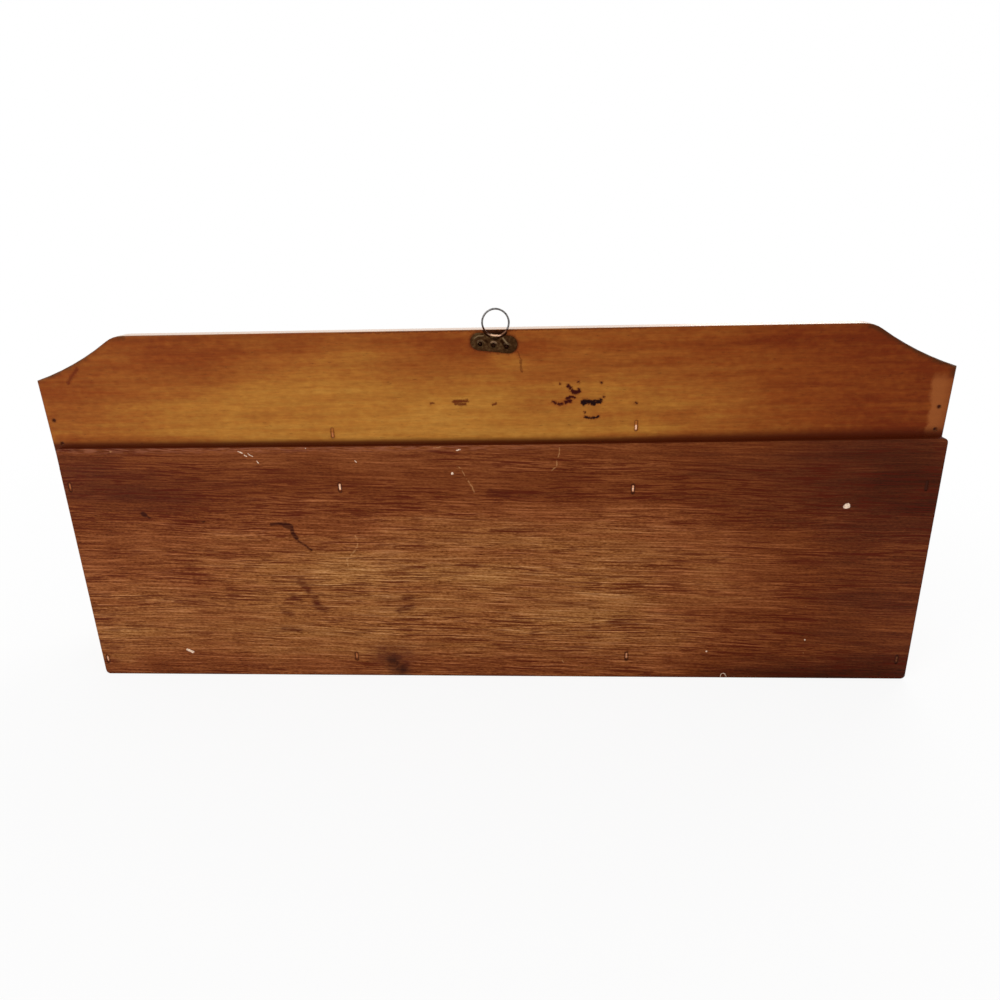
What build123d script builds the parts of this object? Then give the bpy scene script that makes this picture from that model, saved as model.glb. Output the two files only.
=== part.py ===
from build123d import *
from math import asin, cos, degrees, radians, sin, sqrt, tan
import os

# Wall mail organizer: a long wooden rack with three open pockets side by side
# Millimetres, +Z up. The wall is on the +Y side and the front faces -Y.
# The origin is the middle of the underside, halfway between the wall and the front face.

# Case
case_w = 391.0            # over the outside faces of the two sides
side_t = 8.0
divider_t = 8.0
divider_x = 65.3          # middle of each divider, left and right of the centre
bottom_t = 8.0
pocket_d = 50.5           # clear depth of a pocket, from the back panel to the front panel
side_drop = 22.5          # from the rail's top down to a side's, behind its curve
divider_drop = 7.5        # from a side's top down to a divider's
divider_lip = 5.0         # how far a divider's front stays under the front panel's top
crest = 6.0               # flat stretch on top of a side or divider, before the curve
curve_foot = 3.0          # flat stretch at the curve's lower end
board_round = 1.0         # rounding on the edges that a hand meets

# Front panel with a finger scoop for each pocket
front_t = 6.0
front_h = 95.0
scoop_d = 16.0
scoop_land = 10.0         # straight top edge left on each side of a scoop, inside the pocket
scoop_lip_r = 5.0
front_round = 1.5

# Back panel, a sheet of plywood that stands proud of the rail above it
panel_margin = 0.5        # that the case is wider than the panel at each end
panel_t = 3.5
panel_h = 117.0
panel_rise = 1.0          # its top edge climbs this much towards -X
panel_bow = 0.5           # and dips this much below a straight line on the way
panel_shift = -1.8        # it is nailed on slightly off centre
panel_corner_r = 2.0
panel_round = 0.4

# Back rail, the board with shaped shoulders that the hanger is nailed to
rail_t = 8.0
rail_rise = 49.0          # how far it stands above the back panel
rail_lap = 10.0           # how far it reaches down in front of the back panel
rail_overhang = 0.1       # of its lower edge past the side at each end
rail_flare = 1.0          # of its ends, cut slightly out of square: wider at the shoulders' tips
rail_fit = 0.2            # under the rail, in the notch of a side or divider
shoulder_run = {1: 42.2, -1: 40.0}  # from a shoulder's start to its tip, sawn by hand
nose_r = 14.0
shoulder_slope = 34.0
hollow_r = 130.0
tip_r = 1.2
rail_round = 0.7

# Brads, with small heads set under the surface
brad_d = 1.2
brad_head_d = 1.5
brad_head_t = 0.8
brad_sink = 0.3
brad_point = 1.5
brad_length = 20.0
side_brad_length = 25.0
front_brad_rows = (22.0, 70.0)
brad_inset = 13.0         # of the brads in the bottom board, from its front and rear edges
drive_play = 0.03         # between a driven fastener and the wood round it
over_surface = 0.3        # how far the cutter of a fastener's hole clears the surface

# Rail nails: each end's nails, outward from the middle of the side and up from the back panel
rail_nails_left = ((0.7, 4.2), (0.6, 13.9))
rail_nails_right = ((1.3, 12.3), (-0.1, 1.6))

# Staples, driven with the crown upright
crown_w = 4.6
wire_w = 0.85
wire_t = 0.6
staple_bend = 0.45
staple_sink = 0.1
panel_leg = 12.0
rail_leg = 15.0
low_row = 10.4
high_row_drop = 19.5      # below the back panel's top
rail_row_rise = 6.1       # above it
# How far each staple strays from its board's middle and its row, from -X to +X
low_strays = ((0.0, 0.2), (0.0, 1.3), (0.0, 0.5), (-0.7, -1.7))
high_strays = ((0.5, -0.5), (0.0, -1.2), (0.0, 0.4), (-1.4, 1.4))
rail_strays = ((-0.7, 1.0), (1.9, -0.9))

# Hanger: a folded brass plate and the wire ring that turns in its fold
hanger_x = -5.3
hanger_drop = 5.6         # of the plate's middle below the rail's top
hanger_tilt = 6.6         # the plate is nailed on leaning, lower at -X
sheet_t = 0.3
plate_round = 0.25
plate_w = 19.8
plate_h = 7.3
hole_pitch = 5.6
hole_drop = 0.9           # of the row of holes below the plate's middle line
eyelet_d = 3.6
eyelet_t = 0.3            # of its raised rim above the plate
eyelet_taper = 30.0
eyelet_bore_d = 1.9
pin_d = 1.0
pin_head_d = 1.7
pin_head_t = 0.5
pin_length = 6.5          # below the plate
pin_point = 1.2
wire_d = 0.8
ring_d = 11.1             # across the middle of the wire
ring_gap = 0.6            # between the ring and the plate's top edge
loop_w = 3.0
loop_rise = 3.0           # of the fold above the plate's middle line
fold_slope = 45.0         # of the sheet that comes down from the fold to the plate
ring_play = 0.08

# Places that follow from the sizes above
wall_y = (panel_t + pocket_d + front_t) / 2
panel_y = wall_y - panel_t
rail_y = panel_y - rail_t
front_y = panel_y - pocket_d
side_x = (case_w - side_t) / 2
panel_w = case_w - 2 * panel_margin
rail_foot_half = case_w / 2 + rail_overhang
rail_half = rail_foot_half + rail_flare
rail_top = panel_h + rail_rise
side_top = rail_top - side_drop
divider_top = side_top - divider_drop
high_row = panel_h - high_row_drop
rail_row = panel_h + rail_row_rise
hanger_z = rail_top - hanger_drop
side_in = case_w / 2 - side_t
divider_in = divider_x - divider_t / 2
divider_out = divider_x + divider_t / 2
upright_x = (-side_x, -divider_x, divider_x, side_x)
rail_foot = panel_h - rail_lap
notch_z = rail_foot - rail_fit
pockets = ((-side_in, -divider_out), (-divider_in, divider_in), (divider_out, side_in))

ring_r = ring_d / 2
wire_r = wire_d / 2
loop_sag = ring_r - sqrt(ring_r**2 - (loop_w / 2) ** 2)
loop_bore_r = wire_r + loop_sag + ring_play
loop_r = loop_bore_r + sheet_t
plate_t = 2 * sheet_t

out_back = (0, 1, 0)
out_front = (0, -1, 0)
up = (0, 0, 1)

os.makedirs("parts", exist_ok=True)


def finish(board, name):
    """Labels a finished piece and writes its file."""
    board.part.label = name
    export_step(board.part, f"parts/{name}.step")


def brad(length, play=0.0, mouth=-brad_sink):
    """A brad driven towards -Z from z = 0, or with play and a raised mouth the hole it leaves."""
    head_r = brad_head_d / 2 + play
    shank_r = brad_d / 2 + play
    neck = -brad_sink - brad_head_t - play
    tip = -length - play
    with BuildPart() as shape:
        with BuildSketch(Plane.XZ):
            with BuildLine():
                Polyline(
                    (0, mouth),
                    (head_r, mouth),
                    (head_r, neck),
                    (shank_r, neck),
                    (shank_r, tip + brad_point),
                    (0, tip),
                    close=True,
                )
            make_face()
        revolve(axis=Axis.Z)
    return shape.part


def staple(leg, play=0.0, mouth=-staple_sink, bend=staple_bend):
    """A staple driven towards -Z with its crown along X, or likewise the slot it leaves."""
    foot = -staple_sink - leg - play
    under = -staple_sink - wire_t - play
    with BuildPart() as shape:
        with BuildSketch(Plane.XZ) as bow:
            with Locations((0, (mouth + foot) / 2)):
                Rectangle(crown_w + 2 * play, mouth - foot)
            if bend:
                fillet(bow.vertices().group_by(Axis.Z)[-1], bend)
            with Locations((0, (under + foot) / 2)):
                Rectangle(crown_w - 2 * wire_t - 2 * play, under - foot, mode=Mode.SUBTRACT)
        extrude(amount=wire_w / 2 + play, both=True)
    return shape.part


def hanger_pin():
    """A pin whose domed head sits on the plate at z = plate_t."""
    shank_r = pin_d / 2
    head_r = pin_head_d / 2
    tip = -pin_length
    dome_r = (head_r**2 + pin_head_t**2) / (2 * pin_head_t)
    dome_turn = degrees(asin(head_r / dome_r))
    with BuildPart() as shape:
        with BuildSketch(Plane.XZ):
            with BuildLine():
                dome = JernArc((0, plate_t + pin_head_t), (1, 0), dome_r, -dome_turn)
                Polyline(
                    dome @ 1,
                    (shank_r, plate_t),
                    (shank_r, tip + pin_point),
                    (0, tip),
                    dome @ 0,
                )
            make_face()
        revolve(axis=Axis.Z)
    return shape.part


def pin_bore():
    """The hole of a hanger pin, through the plate and into the rail."""
    with BuildPart() as shape:
        with BuildSketch(Plane.XY.offset(-pin_length - drive_play)):
            Circle(pin_d / 2 + drive_play)
        extrude(amount=pin_length + drive_play + plate_t + over_surface)
    return shape.part


def driven(x, y, z, out):
    """Where a fastener goes in: its +Z points out of the wood and its X lies upright."""
    return Plane(origin=(x, y, z), x_dir=up, z_dir=out).location


def under_board(x, y):
    """The same on the underside, where up is already the way the fastener goes."""
    return Plane(origin=(x, y, 0), x_dir=(0, 1, 0), z_dir=(0, 0, -1)).location


def on_hanger(across, rise, proud):
    """A plane on the hanger, square to the wall, by its own directions."""
    base = hanger_plane.from_local_coords((across, rise, proud))
    return Plane(origin=base, x_dir=hanger_plane.x_dir, z_dir=hanger_plane.z_dir)


hanger_plane = Plane(
    origin=(hanger_x, panel_y, hanger_z),
    x_dir=(-cos(radians(hanger_tilt)), 0, -sin(radians(hanger_tilt))),
    z_dir=out_back,
)

# Where every fastener goes
panel_staple_spots = [
    driven(x + dx, wall_y, row + dz, out_back)
    for row, strays in ((low_row, low_strays), (high_row, high_strays))
    for x, (dx, dz) in zip(upright_x, strays)
]
rail_staple_spots = [
    driven(x + dx, panel_y, rail_row + dz, out_back)
    for x, (dx, dz) in zip((-divider_x, divider_x), rail_strays)
]
rail_nail_spots = [
    driven(end + side * dx, panel_y, panel_h + dz, out_back)
    for side, end, nails in ((-1, -side_x, rail_nails_left), (1, side_x, rail_nails_right))
    for dx, dz in nails
]
front_brad_spots = [
    driven(x, -wall_y, z, out_front) for x in upright_x for z in front_brad_rows
]
brad_ys = (front_y + brad_inset, panel_y - brad_inset)
side_brad_spots = [
    driven(side * case_w / 2, y, bottom_t / 2, (side, 0, 0)) for side in (-1, 1) for y in brad_ys
]
bottom_brad_spots = [under_board(x, y) for x in (-divider_x, divider_x) for y in brad_ys]
eyelet_planes = [on_hanger(n * hole_pitch, -hole_drop, 0) for n in (-1, 0, 1)]
pin_spots = [plane.location for plane in eyelet_planes]

brad_hole = brad(brad_length, drive_play, over_surface)
side_brad_hole = brad(side_brad_length, drive_play, over_surface)
panel_slot = staple(panel_leg, drive_play, over_surface, bend=0)
rail_slot = staple(rail_leg, drive_play, over_surface, bend=0)
pin_hole = pin_bore()


def bore_for_fasteners():
    """Cuts the hole of every fastener out of the board being built, where it meets one."""
    for hole, spots in (
        (panel_slot, panel_staple_spots),
        (rail_slot, rail_staple_spots),
        (brad_hole, rail_nail_spots + front_brad_spots + bottom_brad_spots),
        (side_brad_hole, side_brad_spots),
        (pin_hole, pin_spots),
    ):
        with Locations(*spots):
            add(hole, mode=Mode.SUBTRACT)


def place(fastener, spots, name):
    """One node of identical fasteners, each a solid of its own."""
    with BuildPart() as group:
        with Locations(*spots):
            add(fastener)
    finish(group, name)


# Sides and dividers, notched at the top of the rear edge for the rail to be let in
def upright_outline(foot, top, front_top):
    """The outline of a side or divider in Y and Z, with an ogee from its rear down to its front."""
    curve_start = rail_y - crest
    curve_end = front_y + curve_foot
    middle = (curve_start + curve_end) / 2
    with BuildLine() as outline:
        Polyline(
            (front_y, front_top),
            (front_y, foot),
            (panel_y, foot),
            (panel_y, notch_z),
            (rail_y, notch_z),
            (rail_y, top),
            (curve_start, top),
        )
        Bezier(
            (curve_start, top),
            (middle, top),
            (middle, front_top),
            (curve_end, front_top),
        )
        Line((curve_end, front_top), (front_y, front_top))
    return outline.line


def round_top(board, radius):
    """Rounds the long edges of the crest and of the curve in front of it."""
    least_rise = 0.05  # of the normal of a face that looks up
    crests = board.faces().filter_by(
        lambda f: f.normal_at().Z > least_rise and f.center().Y < rail_y
    )
    fillet(crests.edges().filter_by(Axis.X, reverse=True), radius)


for x, name in ((-case_w / 2, "left_side"), (case_w / 2 - side_t, "right_side")):
    with BuildPart() as side:
        with BuildSketch(Plane.YZ.offset(x)):
            add(upright_outline(0, side_top, front_h))
            make_face()
        extrude(amount=side_t)
        round_top(side, board_round)
        bore_for_fasteners()
    finish(side, name)

for x, name in ((-divider_out, "left_divider"), (divider_in, "right_divider")):
    with BuildPart() as divider:
        with BuildSketch(Plane.YZ.offset(x)):
            add(upright_outline(bottom_t, divider_top, front_h - divider_lip))
            make_face()
        extrude(amount=divider_t)
        round_top(divider, board_round)
        bore_for_fasteners()
    finish(divider, name)

# Bottom board, between the two sides
with BuildPart() as bottom_board:
    with BuildSketch(Plane.XY):
        with Locations((0, (panel_y + front_y) / 2)):
            Rectangle(2 * side_in, pocket_d)
    extrude(amount=bottom_t)
    bore_for_fasteners()
finish(bottom_board, "bottom_board")

# Front panel, nailed on the front edges of the sides and dividers
with BuildPart() as front_panel:
    with BuildSketch(Plane.XZ.offset(-front_y)) as front_face:
        with BuildLine():
            corner = (-case_w / 2, front_h)
            for low_x, high_x in pockets:
                start = (low_x + scoop_land, front_h)
                end = (high_x - scoop_land, front_h)
                Line(corner, start)
                ThreePointArc(start, ((low_x + high_x) / 2, front_h - scoop_d), end)
                corner = end
            Polyline(
                corner,
                (case_w / 2, front_h),
                (case_w / 2, 0),
                (-case_w / 2, 0),
                (-case_w / 2, front_h),
            )
        make_face()
        fillet(front_face.vertices().group_by(Axis.Z)[-1], scoop_lip_r)
    extrude(amount=front_t)
    fillet(front_panel.faces().sort_by(Axis.Y)[0].edges(), front_round)
    bore_for_fasteners()
finish(front_panel, "front_panel")

# Back panel
with BuildPart() as back_panel:
    with BuildSketch(Plane.XZ.offset(-wall_y)) as sheet:
        with BuildLine():
            low_end = panel_shift - panel_w / 2
            high_end = panel_shift + panel_w / 2
            ThreePointArc(
                (high_end, panel_h),
                (panel_shift, panel_h + panel_rise / 2 - panel_bow),
                (low_end, panel_h + panel_rise),
            )
            Polyline(
                (low_end, panel_h + panel_rise),
                (low_end, 0),
                (high_end, 0),
                (high_end, panel_h),
            )
        make_face()
        fillet(sheet.vertices(), panel_corner_r)
    extrude(amount=panel_t)
    fillet(back_panel.faces().sort_by(Axis.Y)[-1].edges(), panel_round)
    bore_for_fasteners()
finish(back_panel, "back_panel")


def hollow_turn(run):
    """How far the hollow of a shoulder turns to end at the tip, in degrees."""
    slope = sin(radians(shoulder_slope))
    return shoulder_slope + degrees(asin((run - nose_r * slope) / hollow_r - slope))


# Back rail
with BuildPart() as back_rail:
    with BuildSketch(Plane.XZ.offset(-panel_y)) as shape:
        with BuildLine():
            for side, run in shoulder_run.items():
                flat = Line((0, rail_top), (side * (rail_half - run), rail_top))
                nose = JernArc(flat @ 1, flat % 1, nose_r, -side * shoulder_slope)
                hollow = JernArc(nose @ 1, nose % 1, hollow_r, side * hollow_turn(run))
                Line(hollow @ 1, (side * rail_foot_half, rail_foot))
            Line((-rail_foot_half, rail_foot), (rail_foot_half, rail_foot))
        make_face()
        tips = [v for v in shape.vertices() if abs(v.X) > rail_half - tip_r and v.Z > panel_h]
        fillet(tips, tip_r)
    extrude(amount=rail_t)
    fillet(back_rail.faces().sort_by(Axis.Y)[0].edges(), rail_round)
    fillet(back_rail.faces().sort_by(Axis.Y)[-1].edges(), rail_round)
    bore_for_fasteners()
finish(back_rail, "back_rail")

# Hanger plate: two plies of sheet, with the fold at the top kept open for the ring
fold_plane = Plane(
    origin=hanger_plane.from_local_coords((-loop_w / 2, 0, 0)),
    x_dir=hanger_plane.y_dir,
    z_dir=hanger_plane.x_dir,
)
touch = (loop_rise - loop_r * sin(radians(fold_slope)), loop_r + loop_r * cos(radians(fold_slope)))
fold_toe = touch[0] - (touch[1] - plate_t) / tan(radians(fold_slope))
with BuildPart() as hanger_plate:
    with BuildSketch(hanger_plane):
        SlotOverall(plate_w, plate_h)
        with Locations((0, loop_rise + ring_r)):
            Circle(ring_r + wire_r + ring_gap, mode=Mode.SUBTRACT)
    extrude(amount=plate_t)
    fillet(hanger_plate.faces().sort_by(Axis.Y)[-1].edges(), plate_round)
    with BuildSketch(fold_plane):
        with BuildLine():
            Polyline(touch, (fold_toe, plate_t), (fold_toe, 0), (loop_rise, 0))
            ThreePointArc((loop_rise, 0), (loop_rise + loop_r, loop_r), touch)
        make_face()
    extrude(amount=loop_w)
    with BuildSketch(fold_plane):
        with Locations((loop_rise, loop_r)):
            Circle(loop_bore_r)
    extrude(amount=loop_w, mode=Mode.SUBTRACT)
    with BuildSketch(*eyelet_planes):
        Circle(eyelet_d / 2)
    extrude(amount=plate_t + eyelet_t, taper=eyelet_taper)
    with BuildSketch(*[plane.offset(plate_t) for plane in eyelet_planes]):
        Circle(eyelet_bore_d / 2)
    extrude(amount=plate_t, mode=Mode.SUBTRACT)
    with Locations(*pin_spots):
        add(pin_hole, mode=Mode.SUBTRACT)
finish(hanger_plate, "hanger_plate")

# Hanger ring, which turns about the middle of the fold
with BuildPart(on_hanger(0, loop_rise + ring_r, loop_r)) as hanger_ring:
    Torus(ring_r, wire_r)
finish(hanger_ring, "hanger_ring")

# Fasteners
place(hanger_pin(), pin_spots, "hanger_pins")
place(brad(brad_length), rail_nail_spots, "rail_nails")
place(staple(rail_leg), rail_staple_spots, "rail_staples")
place(staple(panel_leg), panel_staple_spots, "panel_staples")
place(brad(brad_length), front_brad_spots, "front_brads")
place(brad(side_brad_length), side_brad_spots, "side_brads")
place(brad(brad_length), bottom_brad_spots, "bottom_brads")
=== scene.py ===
from math import cos, radians, sin

import bpy
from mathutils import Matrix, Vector


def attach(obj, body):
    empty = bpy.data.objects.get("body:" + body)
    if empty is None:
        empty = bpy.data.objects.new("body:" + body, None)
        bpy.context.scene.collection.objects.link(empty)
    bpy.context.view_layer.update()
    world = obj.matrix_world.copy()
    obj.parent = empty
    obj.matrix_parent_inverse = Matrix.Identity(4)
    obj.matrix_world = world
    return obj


# The wall mail organizer, seen from behind as in the photograph
# Blender's metres are written as millimetres times MM, and the shaders work in millimetres.
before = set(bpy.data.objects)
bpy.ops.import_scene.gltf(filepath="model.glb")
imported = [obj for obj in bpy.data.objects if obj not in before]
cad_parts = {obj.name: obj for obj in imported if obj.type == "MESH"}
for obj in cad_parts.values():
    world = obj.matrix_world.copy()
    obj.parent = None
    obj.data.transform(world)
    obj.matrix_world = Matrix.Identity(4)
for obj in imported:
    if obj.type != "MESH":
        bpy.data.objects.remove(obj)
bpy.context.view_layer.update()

MM = 0.001

# Boards: the faces that the marks of use lie on
RAIL_BACK = 26.5
WALL_PLANE = 30.0
PANEL_TOP = 117.0

# Camera
CAMERA_PLACE = (-24.0, 344.8, 205.0)
CAMERA_TURN = (70.194, 1.310, -177.295)
LENS = 27.0
SENSOR = 36.0

# How strongly red, green and blue follow the shading of stained grain
WARM_POWERS = (0.8, 1.1, 1.6)


def tint(code):
    """The linear colour that a node takes for a hex code."""
    shares = [int(code[i : i + 2], 16) / 255 for i in (0, 2, 4)]
    return (*[((s + 0.055) / 1.055) ** 2.4 if s > 0.04 else s / 12.92 for s in shares], 1.0)


class Paint:
    """Builds one material's nodes. Places and sizes are in millimetres of the row frame."""

    def __init__(self, name):
        self.material = bpy.data.materials.new(name)
        self.material.use_nodes = True
        self.tree = self.material.node_tree
        self.tree.nodes.clear()
        metres = self.node("TexCoord", {}, "Object")
        self.place = self.vector("SCALE", metres, scale=1 / MM)
        self.x, self.y, self.z = self.split(self.place)

    def node(self, kind, feeds, out=0, **settings):
        """Adds a node, feeds its inputs by name or number, and returns one of its outputs."""
        made = self.tree.nodes.new("ShaderNode" + kind)
        for setting, value in settings.items():
            setattr(made, setting, value)
        for socket, value in feeds.items():
            self.feed(made.inputs[socket], value)
        return made.outputs[out]

    def feed(self, socket, value):
        if isinstance(value, bpy.types.NodeSocket):
            self.tree.links.new(value, socket)
        else:
            socket.default_value = value

    def math(self, operation, *values):
        return self.node("Math", dict(enumerate(values)), operation=operation)

    def total(self, first, *rest):
        """The sum of several values."""
        for value in rest:
            first = self.math("ADD", first, value)
        return first

    def times(self, first, *rest):
        """The product of several values."""
        for value in rest:
            first = self.math("MULTIPLY", first, value)
        return first

    def without(self, share):
        """What a share leaves of 1."""
        return self.math("SUBTRACT", 1.0, share)

    def vector(self, operation, *values, scale=None, out=0):
        feeds = dict(enumerate(values))
        if scale is not None:
            feeds["Scale"] = scale
        return self.node("VectorMath", feeds, out, operation=operation)

    def split(self, vector):
        node = self.tree.nodes.new("ShaderNodeSeparateXYZ")
        self.tree.links.new(vector, node.inputs[0])
        return node.outputs[:]

    def join(self, x, y, z):
        return self.node("CombineXYZ", {0: x, 1: y, 2: z})

    def ramp(self, value, start, end, low=0.0, high=1.0):
        """Eases from low, where the value is start, to high, where it is end."""
        feeds = {0: value, 1: start, 2: end, 3: low, 4: high}
        return self.node("MapRange", feeds, interpolation_type="SMOOTHSTEP")

    def noise(self, place, size, detail=3.0, rough=0.5):
        """Noise about 0.5, its features as long as size along each axis."""
        feeds = {
            "Vector": self.vector("DIVIDE", place, size),
            "Scale": 1.0,
            "Detail": detail,
            "Roughness": rough,
        }
        return self.node("TexNoise", feeds)

    def sway(self, place, size, reach, detail=2.0, rough=0.5):
        """Noise about 0, reaching about as far as reach."""
        return self.ramp_line(self.noise(place, size, detail, rough), -reach, reach)

    def ramp_line(self, value, low, high):
        """Straight from low, where the value is 0.25, to high, where it is 0.75."""
        feeds = {0: value, 1: 0.25, 2: 0.75, 3: low, 4: high}
        return self.node("MapRange", feeds, clamp=False)

    def mix(self, share, first, second):
        feeds = {0: share, 6: first, 7: second}
        return self.node("Mix", feeds, 2, data_type="RGBA")

    def shade(self, colour, share):
        """A colour made darker or lighter by a factor."""
        return self.vector("SCALE", colour, scale=share)

    def warm_shade(self, colour, share):
        """A colour made darker and warmer, or lighter and paler, by a factor."""
        factor = self.math("MAXIMUM", share, 0.05)
        channels = [self.math("POWER", factor, power) for power in WARM_POWERS]
        return self.vector("MULTIPLY", colour, self.join(*channels))

    def blend(self, value, *codes):
        """Runs through the colours, evenly spaced, as the value goes from 0 to 1."""
        made = self.tree.nodes.new("ShaderNodeValToRGB")
        stops = made.color_ramp.elements
        while len(stops) < len(codes):
            stops.new(0.5)
        for n, code in enumerate(codes):
            stops[n].position = n / (len(codes) - 1)
            stops[n].color = tint(code)
        self.feed(made.inputs[0], value)
        return made.outputs[0]

    def stroke(self, place, points, radius, soft):
        """1 along a line through points on a board's back, given as (x, z), and 0 off it."""
        nearest = None
        for start, end in zip(points, points[1:] or points):
            offset = self.vector("SUBTRACT", place, (start[0], 0, start[1]))
            along = Vector((end[0] - start[0], 0, end[1] - start[1]))
            if along.length > 0:
                reach = self.vector("DOT_PRODUCT", offset, along / along.length_squared, out=1)
                share = self.node("Clamp", {0: reach})
                foot = self.vector("SCALE", along, scale=share)
                away = self.vector("DISTANCE", offset, foot, out=1)
            else:
                away = self.vector("LENGTH", offset, out=1)
            nearest = away if nearest is None else self.math("MINIMUM", nearest, away)
        return self.ramp(nearest, radius + soft, max(radius - soft, 0))

    def strokes(self, place, lines, soft):
        """Several strokes as one mask. Each line is its radius and its points."""
        mask = None
        for radius, *points in lines:
            one = self.stroke(place, points, radius, soft)
            mask = one if mask is None else self.math("MAXIMUM", mask, one)
        return mask

    def flat_place(self, fray, size):
        """The place on a board's back with frayed outlines."""
        rough = self.node(
            "TexNoise", {"Vector": self.place, "Scale": 1 / size, "Detail": 2.0}, 1
        )
        shift = self.vector("SUBTRACT", rough, (0.5, 0.5, 0.5))
        moved = self.vector("ADD", self.place, self.vector("SCALE", shift, scale=fray))
        return self.vector("MULTIPLY", moved, (1, 0, 1))

    def facing(self, axis, start=0.5, end=0.9):
        """1 where the surface faces the way of an axis, given as a vector."""
        normal = self.node("NewGeometry", {}, "True Normal")
        return self.ramp(self.vector("DOT_PRODUCT", normal, axis, out=1), start, end)

    def turned(self, start, end):
        """1 where the smooth surface turns away from the back, which faces +Y."""
        normal = self.node("NewGeometry", {}, "Normal")
        return self.ramp(self.vector("DOT_PRODUCT", normal, (0, 1, 0), out=1), start, end)

    def edge(self, width):
        """1 along edges, fading to 0 on the flats."""
        soft = self.node("Bevel", {"Radius": width * MM}, samples=4)
        normal = self.node("NewGeometry", {}, "Normal")
        return self.ramp(self.vector("DOT_PRODUCT", soft, normal, out=1), 0.99, 0.8)

    def surface(self, colour, roughness, height=None, **others):
        """Ends the material: height is in millimetres, and the others are the shader's sockets."""
        feeds = {"Base Color": colour, "Roughness": roughness}
        feeds.update({name.replace("_", " "): value for name, value in others.items()})
        if height is not None:
            feeds["Normal"] = self.node("Bump", {"Distance": MM, "Height": height})
        output = self.tree.nodes.new("ShaderNodeOutputMaterial")
        self.feed(output.inputs["Surface"], self.node("BsdfPrincipled", feeds))
        return self.material


def give(material, *nodes):
    """Puts a material on CAD nodes."""
    for name in nodes:
        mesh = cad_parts[name].data
        mesh.materials.clear()
        mesh.materials.append(material)


# Varnished softwood
RING_SPACING = 5.2
GOLDEN = ("B67E34", "A56A27", "92521C", "7F3C10", "682606")


def softwood(paint, grain, pith, tone, rings=1.0):
    """Colour and height of varnished softwood. Tone goes from golden at 0 to red-brown at 1."""
    local = paint.vector("SUBTRACT", paint.place, pith)
    if grain == "z":
        x, y, z = paint.split(local)
        local = paint.join(z, y, x)
    wander = paint.sway(local, (170, 60, 60), 6, detail=1)
    radius = paint.vector("LENGTH", paint.vector("MULTIPLY", local, (0, 1, 1)), out=1)
    ring = paint.math("FRACT", paint.math("DIVIDE", paint.total(radius, wander), RING_SPACING))
    late = paint.times(paint.ramp(ring, 0.3, 0.85), paint.ramp(ring, 1.0, 0.9))
    clouds = paint.sway(local, (48, 13, 13), 1, detail=4)
    bands = paint.sway(local, (150, 6, 6), 1, detail=3)
    streaks = paint.sway(local, (34, 1.7, 1.7), 1, detail=3, rough=0.6)
    fibre = paint.sway(local, (6, 0.8, 0.8), 1, detail=4, rough=0.65)
    mottle = paint.sway(local, (3.2, 1.9, 1.9), 1, detail=2)
    fleck = paint.ramp(paint.noise(local, (3.2, 0.8, 0.8), 2, 0.6), 0.66, 0.75)
    tone = paint.total(
        tone,
        paint.times(clouds, 0.11),
        paint.times(bands, 0.07),
        paint.times(streaks, 0.1),
        paint.times(mottle, 0.08),
        paint.times(late, 0.09 * rings),
    )
    colour = paint.blend(tone, *GOLDEN)
    shade = paint.total(
        1.0,
        paint.times(fibre, 0.15),
        paint.times(streaks, 0.06),
        paint.times(late, -0.06 * rings),
        paint.times(fleck, -0.24),
    )
    height = paint.total(
        paint.times(fibre, 0.01), paint.times(fleck, -0.04), paint.times(late, 0.008 * rings)
    )
    return paint.shade(colour, shade), height


def scuffs(paint):
    """Fine straight scratches, some long and some short, in three directions."""
    mask = 0.0
    for turn, length in ((0.35, 34), (-0.8, 22), (1.4, 16)):
        axis = paint.vector("DOT_PRODUCT", paint.place, (cos(turn), 0.5, sin(turn)), out=1)
        across = paint.vector("DOT_PRODUCT", paint.place, (-sin(turn), 0.3, cos(turn)), out=1)
        lines = paint.noise(paint.join(axis, across, 0.0), (length, 0.45, 1), 0)
        rare = paint.ramp(paint.noise(paint.place, (25, 25, 25), 1), 0.5, 0.62)
        one = paint.times(paint.ramp(lines, 0.76, 0.8), rare)
        mask = paint.math("MAXIMUM", mask, one)
    return mask


def case_wood(name, grain, pith):
    """The sides, dividers, bottom and front."""
    paint = Paint(name)
    colour, height = softwood(paint, grain, pith, 0.42)
    # Darker in random dirty patches, and in corners and recesses, where dust gathers and painted
    # shade lies.
    darkening = paint.ramp(paint.noise(paint.place, (38, 38, 30), 4, 0.6), 0.5, 0.72, 0, 0.35)
    open_share = paint.node("AmbientOcclusion", {"Distance": 14 * MM}, "AO", samples=4)
    dust = paint.noise(paint.place, (6, 6, 6), 4, 0.6)
    corner_dust_and_shade = paint.times(paint.ramp(open_share, 0.85, 0.4), paint.ramp(dust, 0.3, 0.6, 0.4, 0.8))
    colour = paint.mix(paint.math("MAXIMUM", darkening, corner_dust_and_shade), colour, tint("4A200E"))
    colour = paint.mix(paint.times(scuffs(paint), 0.4), colour, tint("C8965A"))
    rub = paint.ramp(paint.noise(paint.place, (9, 9, 9), 4, 0.65), 0.38, 0.58)
    colour = paint.mix(paint.times(paint.edge(1.8), rub, 0.8), colour, tint("C2925A"))
    dents = paint.ramp(paint.noise(paint.place, (4.5, 4.5, 4.5), 1, 0.5), 0.72, 0.78)
    colour = paint.mix(paint.times(dents, 0.5), colour, tint("4A200E"))
    height = paint.total(height, paint.times(dents, -0.15))
    roughness = paint.ramp_line(paint.noise(paint.place, (30, 8, 8), 3), 0.38, 0.52)
    return paint.surface(colour, roughness, height, Specular_IOR_Level=0.14)


# How much shorter along X the clouds are drawn than they come out
CLOUD_SQUASH = 0.55

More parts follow.
